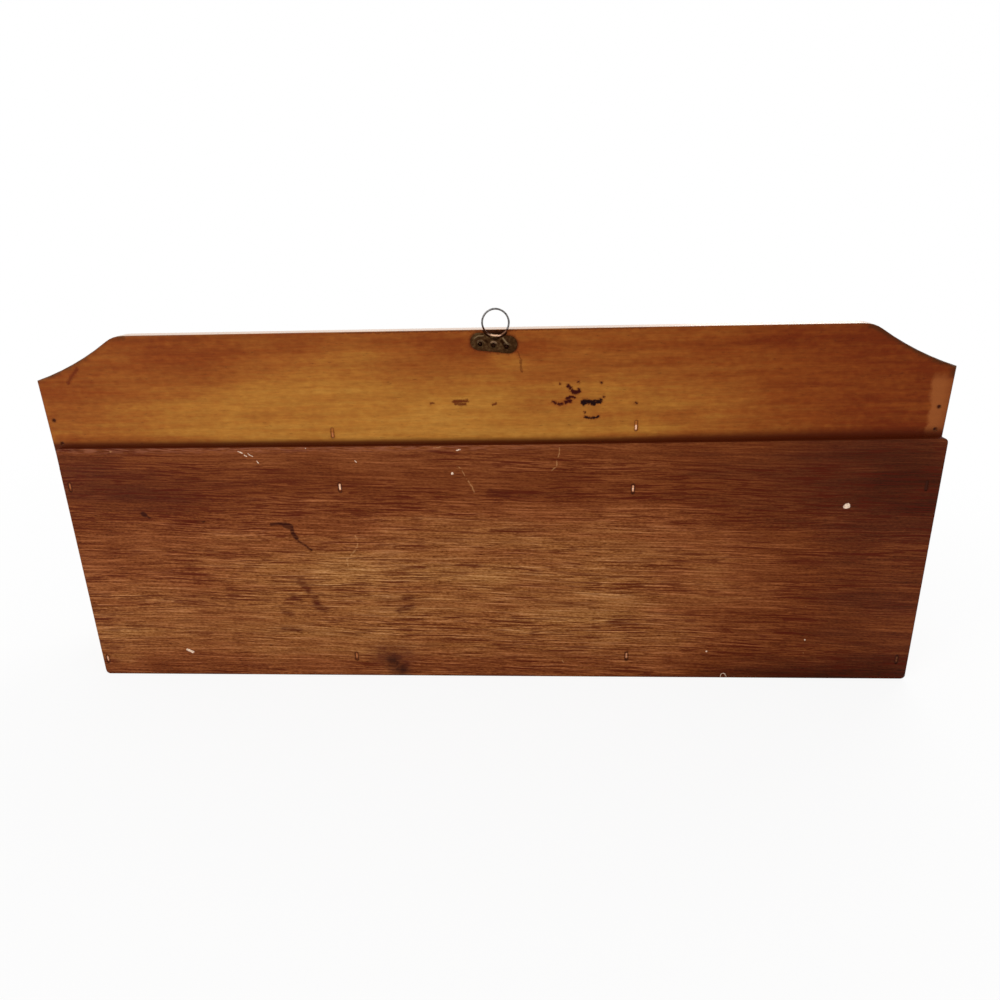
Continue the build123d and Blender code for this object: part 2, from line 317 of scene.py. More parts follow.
# Rail. A staple is given by the place of its middle and by how brightly it shines
RAIL_NAILS = ((192.8, 129.3), (191.4, 118.6), (-192.2, 130.9), (-192.1, 121.2))
RAIL_STAPLES = ((67.2, 122.2, 0.35), (-66.0, 124.1, 0.75))
STAPLE_HALF = 1.6
PITCH_BLOTS = (
    (0.65, (-36.6, 141.7), (-37.6, 140.9)),
    (0.7, (-38.4, 139.6), (-39.4, 138.9)),
    (0.9, (-39.6, 139.0), (-40.9, 139.2)),
    (0.6, (-41.2, 140.1), (-41.4, 139.4)),
    (0.65, (-36.2, 136.3), (-37.4, 136.9)),
    (0.5, (-38.2, 137.0), (-39.6, 136.7)),
    (0.5, (-30.2, 134.9), (-31.3, 134.4)),
    (0.55, (-32.6, 133.9), (-34.0, 134.0)),
    (0.65, (-35.6, 134.8), (-37.6, 135.3)),
    (1.15, (-43.2, 134.6), (-44.6, 134.8)),
    (0.85, (-45.4, 134.9), (-46.4, 135.0)),
    (1.25, (-47.2, 134.4), (-47.6, 134.4)),
    (1.0, (-49.0, 134.8), (-50.4, 135.0)),
    (0.45, (-44.0, 128.1), (-45.6, 127.7), (-47.0, 127.6)),
    (0.5, (-46.8, 127.6), (-48.6, 127.8), (-49.8, 128.3)),
    (0.45, (-41.1, 143.4)),
    (0.4, (-50.7, 143.0)),
    (0.3, (-51.9, 136.8)),
    (0.35, (-33.1, 142.8)),
    (0.3, (-43.9, 130.1)),
    (0.4, (-65.6, 134.0)),
)
FAINT_BLOTS = (
    (0.7, (12.6, 135.6), (6.9, 135.8)),
    (0.65, (11.8, 134.5), (7.6, 134.3)),
    (0.55, (-4.1, 134.1), (-5.4, 134.4)),
    (0.5, (22.6, 134.8), (21.4, 135.0)),
)
CRACKS = (
    (0.15, (-15.4, 156.4), (-16.4, 153.4)),
    (0.45, (-16.5, 152.6), (-16.8, 148.4)),
    (0.3, (2.5, 165.6), (-13.5, 165.8)),
    (0.2, (60.0, 165.5), (-70.0, 165.6)),
)
# Painted shadow around the hanger plate: its radius and points
HANGER_SHADOW = (4.2, (0.9, 161.1), (-11.5, 159.7))
SHOULDERS = (
    (1.5, (154.5, 166.0), (158.5, 165.4), (162.3, 163.6), (170.0, 158.8), (180.1, 153.6),
     (196.0, 147.3)),
    (1.7, (-156.7, 166.0), (-160.7, 165.4), (-164.5, 163.6), (-172.2, 158.8), (-182.3, 153.6),
     (-192.8, 149.2), (-196.5, 147.5), (-196.0, 145.0)),
)
SCRAPE = (0.7, (177.2, 152.1), (180.1, 149.1), (182.6, 146.0))
CLOUDS = (
    (0.13, 9, 12, (128, 160), (116, 152)),
    (0.09, 4, 5, (80, 159)),
    (0.2, 2.4, 1.8, (190, 119.6), (124, 119.4)),
    (0.16, 2.2, 1.8, (-46, 119.6), (-90, 119.8)),
    (0.05, 3, 4, (128, 128), (120, 128)),
    (0.1, 3, 8, (15, 161), (-20, 160)),
    (0.14, 2, 5, (-50, 127), (-88, 129)),
    (-0.2, 2.6, 2.2, (-8.6, 153.8), (-13.5, 152.6)),
    (-0.2, 4, 11, (98, 146), (56, 150)),
    (-0.08, 3, 8, (60, 128), (0, 130)),
    (-0.08, 2, 7, (165, 133), (120, 138)),
    (0.05, 2, 8, (-20, 138), (-35, 136)),
    (0.05, 2, 4, (-50, 120), (-62, 120)),
)


def staple_lines(spots, radius):
    """A short upright line at each staple."""
    return [(radius, (x, z - STAPLE_HALF), (x, z + STAPLE_HALF)) for x, z, _ in spots]


def cloud_tone(paint, clouds):
    """The sum of soft clouds, each given as its tone, radius, softness and points."""
    place = paint.vector("MULTIPLY", paint.place, (CLOUD_SQUASH, 0, 1))
    tone = 0.0
    for share, radius, soft, *points in clouds:
        flat = [(CLOUD_SQUASH * x, z) for x, z in points]
        tone = paint.total(tone, paint.times(paint.stroke(place, flat, radius, soft), share))
    return tone


def rail_tone(paint):
    """Golden low in the middle of the rail, red-brown at its top and towards -X."""
    leaning = paint.total(paint.z, paint.ramp(paint.x, 70, 210, 0, 15))
    rise = paint.ramp(leaning, 124, 165, 0.22, 0.64)
    # Darker towards -X: partly the wood's own tone, partly a painted falloff of the light.
    right = paint.times(paint.ramp(paint.x, -35, -185), 0.87, paint.without(rise))
    return paint.total(
        rise, right, paint.ramp(paint.x, 120, 200, 0, 0.12), cloud_tone(paint, CLOUDS)
    )


def rail_wood():
    """The rail, with dirt and painted shadow along the joint above the panel, its blots, painted
    shade about its staples, a painted shadow about the hanger and a painted highlight on its top
    face.
    """
    paint = Paint("rail_wood")
    colour, height = softwood(paint, "x", (0, 90, 205), rail_tone(paint), rings=0.4)
    back = paint.ramp(paint.y, RAIL_BACK - 0.8, RAIL_BACK - 0.4)
    frayed = paint.flat_place(1.8, 1.1)
    ragged = paint.sway(paint.place, (4, 4, 5), 1.3, detail=3)
    patch = paint.times(
        paint.ramp(paint.total(paint.x, ragged), -187.2, -189.2),
        paint.ramp(paint.total(paint.z, ragged), 145.2, 141.0, 0, 0.78),
        paint.ramp(paint.x, -197.0, -191.5, 0.45, 1),
        back,
    )
    colour = paint.mix(patch, colour, tint("955327"))
    scrape = paint.times(paint.strokes(frayed, [SCRAPE], 0.6), 0.7, back)
    colour = paint.mix(scrape, colour, tint("5A1800"))
    # A dark band along the joint above the panel, wider towards -X: partly dirt and varnish in the
    # joint, partly painted shadow of the panel's edge.
    top = paint.ramp(paint.x, -40, -195, PANEL_TOP, PANEL_TOP + 1)
    above = paint.math("SUBTRACT", paint.z, top)
    depth = paint.ramp(paint.x, -20, -160, 1.5, 2.5)
    seam_dirt_and_shadow = paint.times(paint.ramp(paint.math("DIVIDE", above, depth), 2.1, 0.3), back)
    colour = paint.mix(paint.times(seam_dirt_and_shadow, 0.93), colour, tint("461200"))
    # Painted shade in the slots around the staples.
    staple_shade = paint.strokes(frayed, staple_lines(RAIL_STAPLES, 0.85), 0.4)
    colour = paint.mix(paint.times(staple_shade, back, 0.8), colour, tint("6A2600"))
    # Painted shadow of the hanger plate on the wood around it.
    darkening = paint.strokes(frayed, [HANGER_SHADOW], 0.8)
    colour = paint.mix(paint.times(darkening, back, 0.6), colour, tint("4A1804"))
    broken = paint.ramp(paint.noise(paint.place, (1.3, 1, 0.9), 2), 0.26, 0.44, 0.65, 1)
    faint = paint.times(paint.strokes(frayed, FAINT_BLOTS, 0.5), broken, back, 0.9)
    colour = paint.mix(faint, colour, tint("541600"))
    cracks = paint.times(paint.strokes(frayed, CRACKS, 0.35), broken, back, 0.6)
    colour = paint.mix(cracks, colour, tint("4C1600"))
    stained = paint.times(paint.strokes(frayed, PITCH_BLOTS, 0.9), back, 0.75)
    colour = paint.mix(stained, colour, tint("5A1200"))
    blots = paint.times(paint.strokes(frayed, PITCH_BLOTS, 0.35), broken, back)
    thick = paint.blend(paint.ramp(paint.x, -41.0, -43.0), "340400", "160000")
    colour = paint.mix(blots, colour, thick)
    outer = paint.ramp(paint.y, RAIL_BACK - 1.1, RAIL_BACK - 0.6)
    rounded = paint.times(paint.turned(0.98, 0.7), outer)
    flank = paint.ramp(paint.math("ABSOLUTE", paint.x), 156, 163)
    rim = paint.times(
        paint.math("MAXIMUM", paint.edge(1.3), rounded), paint.total(paint.times(flank, 0.25), 0.4)
    )
    colour = paint.mix(rim, colour, tint("38200E"))
    uneven = paint.ramp(paint.noise(paint.place, (6, 4, 6), 3, 0.6), 0.35, 0.6, 0.15, 0.65)
    sawn = paint.times(paint.strokes(frayed, SHOULDERS, 0.9), uneven, back)
    colour = paint.mix(sawn, colour, tint("3A2008"))
    end_grain = paint.times(paint.facing((0, 0, 1), 0.6, 0.75), flank, 0.85)
    colour = paint.mix(end_grain, colour, tint("6E5038"))
    # The top face is pale: partly wood worn through its varnish, partly a painted highlight of the
    # light from above.
    top_edge = paint.times(paint.facing((0, 0, 1), 0.7, 0.9), paint.without(flank), 0.95)
    bare_wood_and_highlight = paint.ramp(paint.noise(paint.place, (26, 1.6, 4), 4, 0.6), 0.3, 0.65, 0.66, 1)
    colour = paint.mix(paint.times(top_edge, bare_wood_and_highlight), colour, tint("D6AC86"))
    height = paint.total(height, paint.times(blots, 0.05))
    roughness = paint.ramp_line(paint.noise(paint.place, (40, 9, 9), 3), 0.4, 0.55)
    roughness = paint.total(roughness, paint.times(end_grain, 0.35))
    return paint.surface(
        colour, roughness, height, Specular_IOR_Level=0.07, Coat_Weight=top_edge, Coat_Roughness=0.2
    )


# Plywood back panel
PANEL_STAPLES = (
    (190.1, 98.9, 0.25), (65.3, 97.9, 0.85), (-65.3, 96.3, 0.75), (-191.0, 97.0, 0.0),
    (190.8, 8.7, 0.6), (65.3, 10.9, 0.35), (-65.3, 11.7, 0.55), (-191.5, 10.6, 0.15),
)
GRAIN_SLOPE = 0.03
PLY_CORE = (27.55, 28.95)
PLY_FADE = 0.2
PAINT_SPECKS = (
    (1.1, (-158.1, 87.6), (-158.9, 87.9)),
    (0.55, (14.4, 104.0)),
    (0.6, (149.3, 14.0), (146.8, 12.8)),
    (0.35, (-103.0, 14.5)),
    (0.3, (-148.0, 20.9)),
    (0.14, (12.1, 114.7), (10.4, 115.1)),
    (0.12, (109.4, 115.1), (107.6, 114.2)),
    (0.2, (105.0, 114.0)),
    (0.15, (106.9, 113.4), (105.9, 112.8)),
    (0.12, (104.6, 113.5), (103.2, 112.9)),
    (0.15, (78.9, 116.2)),
    (0.1, (57.4, 110.3), (56.8, 109.7)),
    (0.1, (101.6, 110.4), (100.8, 109.7)),
)
SCRATCHES = (
    (0.2, (12.0, 107.5), (10.1, 106.0), (9.4, 104.3), (8.0, 101.6), (5.8, 97.7), (4.9, 95.3)),
    (0.18, (-33.0, 115.5), (-32.8, 112.4), (-31.8, 109.9), (-31.8, 107.2), (-29.5, 105.1)),
    (0.3, (60.4, 74.3), (59.2, 71.6), (60.5, 68.1), (63.6, 64.3), (65.5, 62.6), (65.1, 59.3)),
    (0.15, (21.9, 116.0), (19.2, 116.2)),
    (0.2, (168.9, 115.4), (166.8, 115.5)),
    (0.25, (-34.7, 9.2), (-35.2, 8.2)),
    (0.2, (-148.0, 13.9)),
    (0.2, (-146.6, 38.6)),
)
LINT = (0.14, (-110.3, 0.2), (-110.8, 2.0), (-111.6, 2.6), (-112.4, 2.3), (-113.2, 0.6))
DARK_MARKS = (
    (0.7, (98.9, 80.1), (95.8, 80.6), (91.9, 79.9)),
    (1.5, (92.4, 79.8), (90.2, 79.0)),
    (0.95, (89.8, 78.8), (89.4, 75.8), (87.9, 73.3)),
    (0.5, (87.2, 71.7), (84.4, 69.8), (81.6, 67.3)),
    (1.15, (158.3, 85.6), (157.6, 85.0)),
    (0.4, (157.6, 85.0), (155.6, 83.6)),
)
SMUDGES = (
    (1.8, (88.5, 51.0), (85.5, 46.8)),
    (1.2, (93.2, 42.9), (90.0, 41.5)),
    (1.8, (82.4, 41.2), (81.2, 37.4), (78.0, 36.3)),
    (1.4, (98.5, 35.4), (95.0, 34.0)),
    (1.5, (39.5, 42.5), (36.5, 42.6)),
    (1.7, (36.5, 38.3), (42.7, 36.0)),
    (1.2, (100.1, 26.3), (91.8, 25.2)),
    (1.4, (-2.0, 95.5), (-10.0, 93.5)),
)
PANEL_CLOUDS = (
    (0.1, 6, 14, (185, 99), (130, 98)),
    (0.09, 3, 6, (-10, 96), (-36, 94)),
    (0.1, 4, 9, (75, 108), (55, 96)),
    (0.06, 3, 5, (-15, 113), (-95, 113)),
    (-0.1, 3, 7, (45, 82), (-10, 80)),
    (0.1, 4, 12, (175, 62), (150, 66)),
    (-0.12, 2, 9, (70, 58), (0, 54)),
    (-0.1, 2, 8, (-20, 30), (-60, 34)),
    (-0.12, 2, 6, (190, 22), (170, 24)),
    (-0.2, 2, 5, (190, 8), (180, 8)),
    (0.05, 4, 9, (60, 28), (8, 28)),
    (0.07, 3, 4, (165, 114), (110, 114)),
    (0.07, 3, 4, (-50, 114), (-95, 114)),
    (0.08, 3, 5, (-140, 108), (-188, 114)),
    (-0.06, 3, 5, (70, 95), (30, 95)),
    (0.1, 3, 9, (-175, 95), (-190, 92)),
    (0.08, 4, 8, (188, 78), (184, 65)),
    (-0.05, 3, 7, (-140, 22), (-150, 18)),
)
BURN = (3.4, (47.5, 7.5), (45.0, 4.5), (43.5, 2.0))
BURN_HAZE = (5.0, (53.0, 12.0), (42.0, 11.0), (44.0, 4.0))


def panel_tone(paint):
    """From golden brown at 0 to nearly black at 1: dark at the top, at -X and along the foot."""
    upper = paint.ramp(paint.z, 58, 98)
    # Darker towards -X: partly the wood's own tone, partly a painted falloff of the light.
    right = paint.times(
        paint.ramp(paint.x, -45, -185), 0.5, paint.ramp(paint.z, 60, 100, 1, 0.78)
    )
    return paint.total(
        0.2,
        right,
        paint.times(upper, 0.34),
        paint.ramp(paint.x, 60, 190, 0, 0.14),
        cloud_tone(paint, PANEL_CLOUDS),
        paint.ramp(paint.z, 100, 116, 0, -0.1),
        paint.ramp(paint.z, 22, 3, 0, 0.22),
        paint.times(paint.ramp(paint.z, 8, 2), paint.ramp(paint.x, -60, -160), 0.15),
    )


def panel_wood():
    """Stained plywood with open pores. Its grain falls a little towards -X."""
    paint = Paint("panel_wood")
    tilt = paint.math("MULTIPLY", paint.x, -GRAIN_SLOPE)
    level = paint.join(paint.x, paint.y, paint.total(paint.z, tilt))
    wave = paint.sway(level, (110, 60, 26), 1.6, detail=2)
    sheet = paint.vector("ADD", level, paint.join(0.0, 0.0, wave))
    clouds = paint.sway(sheet, (38, 20, 12), 1, detail=3)
    bands = paint.sway(sheet, (120, 8, 3.4), 1, detail=3, rough=0.6)
    fine = paint.sway(sheet, (14, 2, 0.55), 1, detail=2, rough=0.6)
    grit = paint.sway(sheet, (1.8, 1, 0.45), 1, detail=2, rough=0.6)
    zone = paint.ramp(paint.noise(sheet, (60, 20, 6), 2), 0.35, 0.6, 0.4, 1)
    short = paint.ramp(paint.noise(sheet, (9, 3, 0.6), 1, 0.5), 0.55, 0.615)
    long = paint.ramp(paint.noise(sheet, (26, 3, 0.75), 1, 0.5), 0.54, 0.615)
    pores = paint.times(paint.math("MAXIMUM", paint.times(short, 0.8), long), zone)
    light = paint.ramp(paint.noise(sheet, (34, 3, 0.85), 1, 0.5), 0.5, 0.68)
    tone = paint.total(panel_tone(paint), paint.times(clouds, 0.1), paint.times(bands, 0.1))
    colour = paint.blend(tone, "9A6534", "8A5328", "7B411D", "673010", "50210A", "391202")
    crisp = paint.times(
        paint.ramp(paint.z, 98, 78, 1.15, 1.75), paint.ramp(paint.x, -120, -60, 0.8, 1)
    )
    relief = paint.total(paint.times(fine, 0.38), paint.times(light, 0.46), paint.times(grit, 0.4))
    shade = paint.total(1.05, paint.times(relief, crisp), paint.ramp(paint.z, 98, 78, 0, -0.02))
    colour = paint.warm_shade(colour, shade)
    colour = paint.mix(paint.times(pores, 0.85), colour, tint("4C1000"))

    back = paint.ramp(paint.y, WALL_PLANE - 0.5, WALL_PLANE - 0.2)
    frayed = paint.flat_place(0.9, 1.2)
    streaky = paint.ramp(paint.noise(sheet, (6, 3, 0.5), 2), 0.42, 0.6)
    dabbed = paint.total(paint.times(streaky, 0.6), 0.35)
    smudges = paint.times(paint.strokes(frayed, SMUDGES, 1.4), dabbed, back)
    colour = paint.mix(smudges, colour, tint("481404"))
    uneven = paint.ramp(paint.noise(paint.place, (5, 5, 4), 3, 0.6), 0.35, 0.62, 0.45, 1)
    burn = paint.times(paint.strokes(frayed, [BURN], 3.5), uneven, back, 0.85)
    haze = paint.times(paint.strokes(frayed, [BURN_HAZE], 4.5), uneven, back, 0.7)
    colour = paint.mix(haze, colour, tint("4C1A10"))
    colour = paint.mix(burn, colour, tint("260C04"))
    raw = paint.times(
        paint.ramp(paint.z, 113.5, 116.2), paint.ramp(paint.x, -70, 20), streaky, back, 0.5
    )
    colour = paint.mix(raw, colour, tint("9A5E44"))
    blotted = paint.total(paint.times(streaky, 0.35), 0.65)
    marks = paint.times(paint.strokes(frayed, DARK_MARKS, 0.45), back, blotted)
    colour = paint.mix(marks, colour, tint("2C0600"))
    # Painted shade in the slots around the staples.
    staple_shade = paint.strokes(frayed, staple_lines(PANEL_STAPLES, 0.9), 0.4)
    colour = paint.mix(paint.times(staple_shade, back, 0.8), colour, tint("360A00"))
    broken = paint.ramp(paint.noise(paint.place, (1.5, 1.5, 1.5), 2), 0.4, 0.55)
    scratches = paint.times(paint.strokes(frayed, SCRATCHES, 0.25), back, broken, 0.45)
    colour = paint.mix(scratches, colour, tint("C4905C"))
    specks = paint.times(paint.strokes(frayed, PAINT_SPECKS, 0.22), back)
    lint = paint.times(paint.strokes(frayed, [LINT], 0.15), back)
    specks = paint.math("MAXIMUM", specks, lint)
    specks = paint.times(specks, paint.total(paint.times(broken, 0.35), 0.6))
    colour = paint.mix(specks, colour, tint("F6D9BE"))

    inner, outer = PLY_CORE
    core = paint.times(
        paint.ramp(paint.y, inner, inner + PLY_FADE), paint.ramp(paint.y, outer, outer - PLY_FADE)
    )
    colour = paint.mix(paint.times(core, 0.7), colour, tint("5E3A22"))
    # Painted shade on the panel's upward top edge.
    ledge_shade = paint.times(paint.facing((0, 0, 1)), paint.ramp(paint.z, 100, 110))
    colour = paint.mix(paint.times(ledge_shade, 0.95), colour, tint("481400"))
    rim = paint.times(paint.edge(1.1), 0.6)
    rim = paint.math("MAXIMUM", rim, paint.ramp(paint.z, 1.0, 0.2, 0, 0.6))
    colour = paint.mix(rim, colour, tint("301806"))
    height = paint.total(
        paint.times(pores, -0.06), paint.times(fine, 0.015), paint.times(specks, 0.08)
    )
    roughness = paint.ramp_line(paint.noise(paint.place, (25, 8, 6), 3), 0.5, 0.65)
    return paint.surface(colour, roughness, height, Specular_IOR_Level=0.07)


# Metal: the hanger's own directions are across, to the photo's right, and up
HANGER_TILT = radians(6.6)
HANGER_MIDDLE = (-5.3, RAIL_BACK, 160.4)
HANGER_ACROSS = (-cos(HANGER_TILT), 0, -sin(HANGER_TILT))
HANGER_UP = (-sin(HANGER_TILT), 0, cos(HANGER_TILT))
HOLE_PITCH = 5.6
HOLE_DROP = 0.9
EYELET_R = 1.4
HANGER_DENTS = (
    (0.55, (3.3, 1.2), (4.9, -0.8)),
    (0.5, (-3.4, 0.6), (-2.8, 0.1)),
)
HANGER_SHINES = (
    (0.3, (3.7, 2.4), (5.9, 0.1)),
    (0.1, (-8.2, 1.2), (-6.8, 2.3), (-4.6, 2.6)),
    (0.25, (-6.5, -0.4)),
)

# How brightly each eyelet shines, from the photo's left to its right
EYELET_SHINES = ((-1, 0.2), (0, 0.65), (1, 0.15))

# The painted highlight on the fold: its lowest rise, how it bends up, and where it is brightest
CREST_RISE = 3.35
CREST_BEND = 0.09
SHINE_ASIDE = 0.9

# Tongue: an arc about the ring's middle, in degrees, and the heights of its faces off the wood
TONGUE_RISE = 8.55
TONGUE_R = 6.6
TONGUE_TURN = 52
TONGUE_STEP = 4
TONGUE_FACES = (0.02, 0.12)
TONGUE_TOP = 165.8


def nail_heads():
    """Heads of the rail's nails, rusty and stained over."""
    paint = Paint("rail_nail_steel")
    spots = paint.noise(paint.place, (0.7, 0.7, 0.7), 3)
    flat = paint.vector("MULTIPLY", paint.place, (1, 0, 1))
    dark = paint.strokes(flat, [(0.65, spot) for spot in RAIL_NAILS], 0.3)
    colour = paint.blend(paint.ramp(spots, 0.3, 0.7), "7A3408", "94480E")
    colour = paint.mix(dark, colour, tint("340C00"))
    return paint.surface(colour, 0.6, paint.times(spots, 0.03), Specular_IOR_Level=0.1)


def worn_metal(name, dark, bright, wear, roughness):
    """Metal with a dull skin that is worn bright in places."""
    paint = Paint(name)
    spots = paint.noise(paint.place, (1.2, 1.2, 1.2), 4, 0.65)
    share = paint.ramp(spots, wear + 0.12, wear - 0.12)
    colour = paint.mix(share, tint(dark), tint(bright))
    fine = paint.noise(paint.place, (0.25, 0.25, 0.25), 3)
    rough = paint.ramp_line(spots, roughness - 0.06, roughness + 0.12)
    return paint.surface(colour, rough, paint.times(fine, 0.01), Metallic=1.0)


def staple_copper():
    """Coppered wire: dull, with painted highlights on some crowns and painted shade on the sides
    where it turns away.
    """
    paint = Paint("staple_copper")
    flat = paint.vector("MULTIPLY", paint.place, (1, 0, 1))
    # Painted highlights on part of each crown, as bright as its shine.
    bright = 0.0
    for staples, low, high in ((RAIL_STAPLES, -1.2, -0.3), (PANEL_STAPLES, -0.5, 0.9)):
        for x, z, shine in staples:
            middle = paint.stroke(flat, ((x, z + low), (x, z + high)), 0.7, 0.4)
            bright = paint.math("MAXIMUM", bright, paint.times(middle, shine))
    spots = paint.noise(paint.place, (0.9, 0.9, 0.9), 3, 0.6)
    share = paint.times(bright, paint.ramp(spots, 0.38, 0.5, 0.6, 1))
    dull = paint.blend(paint.ramp(paint.x, -120, 60), "38160A", "642C10")
    dull = paint.mix(paint.ramp(paint.y, 29, 27.4), dull, tint("A05C24"))
    colour = paint.mix(paint.ramp(share, 0, 0.45), dull, tint("B46C3C"))
    colour = paint.mix(paint.ramp(share, 0.3, 0.9), colour, tint("F6C6A6"))
    # Painted shade on the wire's turned sides.
    colour = paint.mix(paint.times(paint.turned(0.9, 0.6), 0.85), colour, tint("4A1A06"))
    shafts = paint.strokes(flat, staple_lines(RAIL_STAPLES + PANEL_STAPLES, 0.9), 0.5)
    colour = paint.mix(shafts, tint("4A1A06"), colour)
    roughness = paint.ramp(share, 0, 1, 0.6, 0.4)
    return paint.surface(colour, roughness, Metallic=0.2, Specular_IOR_Level=0.1)


def hanger_place(paint):
    """How far a place lies across and up from the hanger's middle, in its own directions."""
    local = paint.vector("SUBTRACT", paint.place, HANGER_MIDDLE)
    across = paint.vector("DOT_PRODUCT", local, HANGER_ACROSS, out=1)
    rise = paint.vector("DOT_PRODUCT", local, HANGER_UP, out=1)
    return across, rise


def hanger_brass():
    """Brown, tarnished brass, with painted highlights on the fold and above its holes."""
    paint = Paint("hanger_brass")
    across, rise = hanger_place(paint)
    spots = paint.noise(paint.place, (1.3, 1.3, 1.3), 4, 0.6)
    tone = paint.total(paint.ramp(spots, 0.3, 0.7), paint.ramp(across, 2, 8, 0, -0.35))
    colour = paint.blend(tone, "35200F", "422A17", "543F26")
    worn = paint.times(paint.edge(0.35), paint.ramp(spots, 0.4, 0.6, 0.1, 0.3))
    colour = paint.mix(worn, colour, tint("6A5434"))
    flat = paint.join(across, 0.0, rise)
    dark = paint.strokes(flat, HANGER_DENTS, 0.35)
    colour = paint.mix(paint.times(dark, 0.85), colour, tint("200C04"))
    bright = paint.strokes(flat, HANGER_SHINES, 0.25)
    colour = paint.mix(paint.times(bright, 0.55), colour, tint("98805E"))
    for n, share in EYELET_SHINES:
        beside = paint.math("SUBTRACT", across, n * HOLE_PITCH)
        above = paint.math("SUBTRACT", rise, -HOLE_DROP)
        away = paint.vector("LENGTH", paint.join(beside, above, 0.0), out=1)
        off = paint.math("ABSOLUTE", paint.math("SUBTRACT", away, EYELET_R))
        lit = paint.times(paint.ramp(off, 0.5, 0.15), paint.ramp(above, 0.5, 1.3), share)
        colour = paint.mix(lit, colour, tint("A8886A"))
        inside = paint.ramp(away, 1.15, 0.9)
        colour = paint.mix(inside, colour, tint("1C0A04"))
    # Painted highlight along the crest of the fold.
    arc = paint.total(rise, paint.times(across, across, -CREST_BEND), -CREST_RISE)
    aside = paint.math("ABSOLUTE", paint.math("SUBTRACT", across, SHINE_ASIDE))
    crest = paint.times(
        paint.ramp(paint.y, RAIL_BACK + 0.9, RAIL_BACK + 1.6),
        paint.ramp(paint.math("ABSOLUTE", arc), 0.45, 0.15),
        paint.ramp(aside, 4.0, 1.4, 0.3, 1),
    )
    colour = paint.mix(paint.times(crest, 0.9), colour, tint("E0B492"))
    roughness = paint.ramp_line(spots, 0.38, 0.52)
    return paint.surface(colour, roughness, paint.times(spots, 0.05), Metallic=1.0)


def ring_wire():
    """Grey wire, with a painted highlight, bright and brassy, where it turns in the fold."""
    paint = Paint("ring_wire")
    across, rise = hanger_place(paint)
    spots = paint.noise(paint.place, (0.9, 0.9, 0.9), 4, 0.65)
    colour = paint.blend(paint.ramp(spots, 0.35, 0.65), "474442", "858280")
    colour = paint.mix(paint.ramp(rise, 7.0, 6.0), colour, tint("3A1E10"))
    aside = paint.math("ABSOLUTE", paint.math("SUBTRACT", across, SHINE_ASIDE))
    # Painted highlight on the lower arc, where it turns in the fold.
    arc_highlight = paint.times(paint.ramp(rise, 4.0, 3.4), paint.ramp(aside, 3.2, 1.0, 0.35, 1))
    right = paint.times(paint.ramp(rise, 6.2, 5.2), paint.ramp(across, 1.6, 3.0), 0.5)
    colour = paint.mix(right, colour, tint("7E5A44"))
    colour = paint.mix(arc_highlight, colour, tint("DDB294"))
    fine = paint.noise(paint.place, (0.25, 0.25, 0.25), 3)
    roughness = paint.total(paint.ramp_line(spots, 0.3, 0.45), paint.times(arc_highlight, -0.1))
    return paint.surface(colour, roughness, paint.times(fine, 0.01), Metallic=1.0)


give(rail_wood(), "back_rail")
give(panel_wood(), "back_panel")
give(case_wood("left_side_wood", "z", (-230, 40, 20)), "left_side")
give(case_wood("right_side_wood", "z", (240, -50, 20)), "right_side")
give(case_wood("left_divider_wood", "z", (-120, 30, 20)), "left_divider")
give(case_wood("right_divider_wood", "z", (30, 45, 20)), "right_divider")
give(case_wood("bottom_wood", "x", (0, 20, -45)), "bottom_board")
give(case_wood("front_wood", "x", (0, -80, 30)), "front_panel")
give(hanger_brass(), "hanger_plate")
give(ring_wire(), "hanger_ring")
give(worn_metal("pin_steel", "1E0C06", "42281A", 0.42, 0.45), "hanger_pins")
give(nail_heads(), "rail_nails")
give(worn_metal("nail_steel", "100A07", "40352C", 0.4, 0.5), "front_brads", "side_brads")
give(worn_metal("bottom_nail_steel", "100A07", "40352C", 0.4, 0.5), "bottom_brads")
give(staple_copper(), "rail_staples", "panel_staples")


# The sheet behind the ring, up to the rail's top
def make_tongue():
    """A thin dark sheet, close to the wood, that fills the ring's foot up to the rail's top."""
    middle = Vector(HANGER_MIDDLE) + TONGUE_RISE * Vector(HANGER_UP)
    turns = [radians(turn) for turn in range(-TONGUE_TURN, TONGUE_TURN + 1, TONGUE_STEP)]
    foot = [
        middle + TONGUE_R * (sin(turn) * Vector(HANGER_ACROSS) - cos(turn) * Vector(HANGER_UP))
        for turn in turns
    ]
    head = [Vector((point.x, point.y, TONGUE_TOP)) for point in reversed(foot)]
    outline = foot + head
    count = len(outline)
    layers = []
    for proud in TONGUE_FACES:
        layers += [(p.x * MM, (RAIL_BACK + proud) * MM, p.z * MM) for p in outline]
    half = count // 2
    faces = []
    for n in range(half - 1):
        quad = (n, n + 1, count - 2 - n, count - 1 - n)
        faces.append(quad)
        faces.append(tuple(count + k for k in reversed(quad)))
    for n in range(count):
        after = (n + 1) % count
        faces.append((after, n, count + n, count + after))
    mesh = bpy.data.meshes.new("hanger_tongue")
    mesh.from_pydata(layers, [], faces)
    tongue = bpy.data.objects.new("hanger_tongue", mesh)
    bpy.context.scene.collection.objects.link(tongue)
    mesh.materials.append(worn_metal("tongue_brass", "2C1408", "4A2614", 0.45, 0.5))
    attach(tongue, "rack")


make_tongue()


# Stage: the share of the floor's seen colour that is plain white, up to the near distance. It
# grows to 1 at the far one
FLOOR_GLOW = 0.88
FLOOR_NEAR = 280
FLOOR_FAR = 600
FLOOR_HALF = 4000
FLOOR_WHITE = (0.86, 0.86, 0.86, 1)

# Light that the world gives where it isn't seen
WORLD_FILL = 0.66

# Lamps: name, place, target, size, and power in watts
LAMPS = (
    ("key", (700, 900, 700), (40, 0, 80), 700, 7),
    ("front_fill", (-600, -900, 800), (0, 0, 80), 900, 8),
)


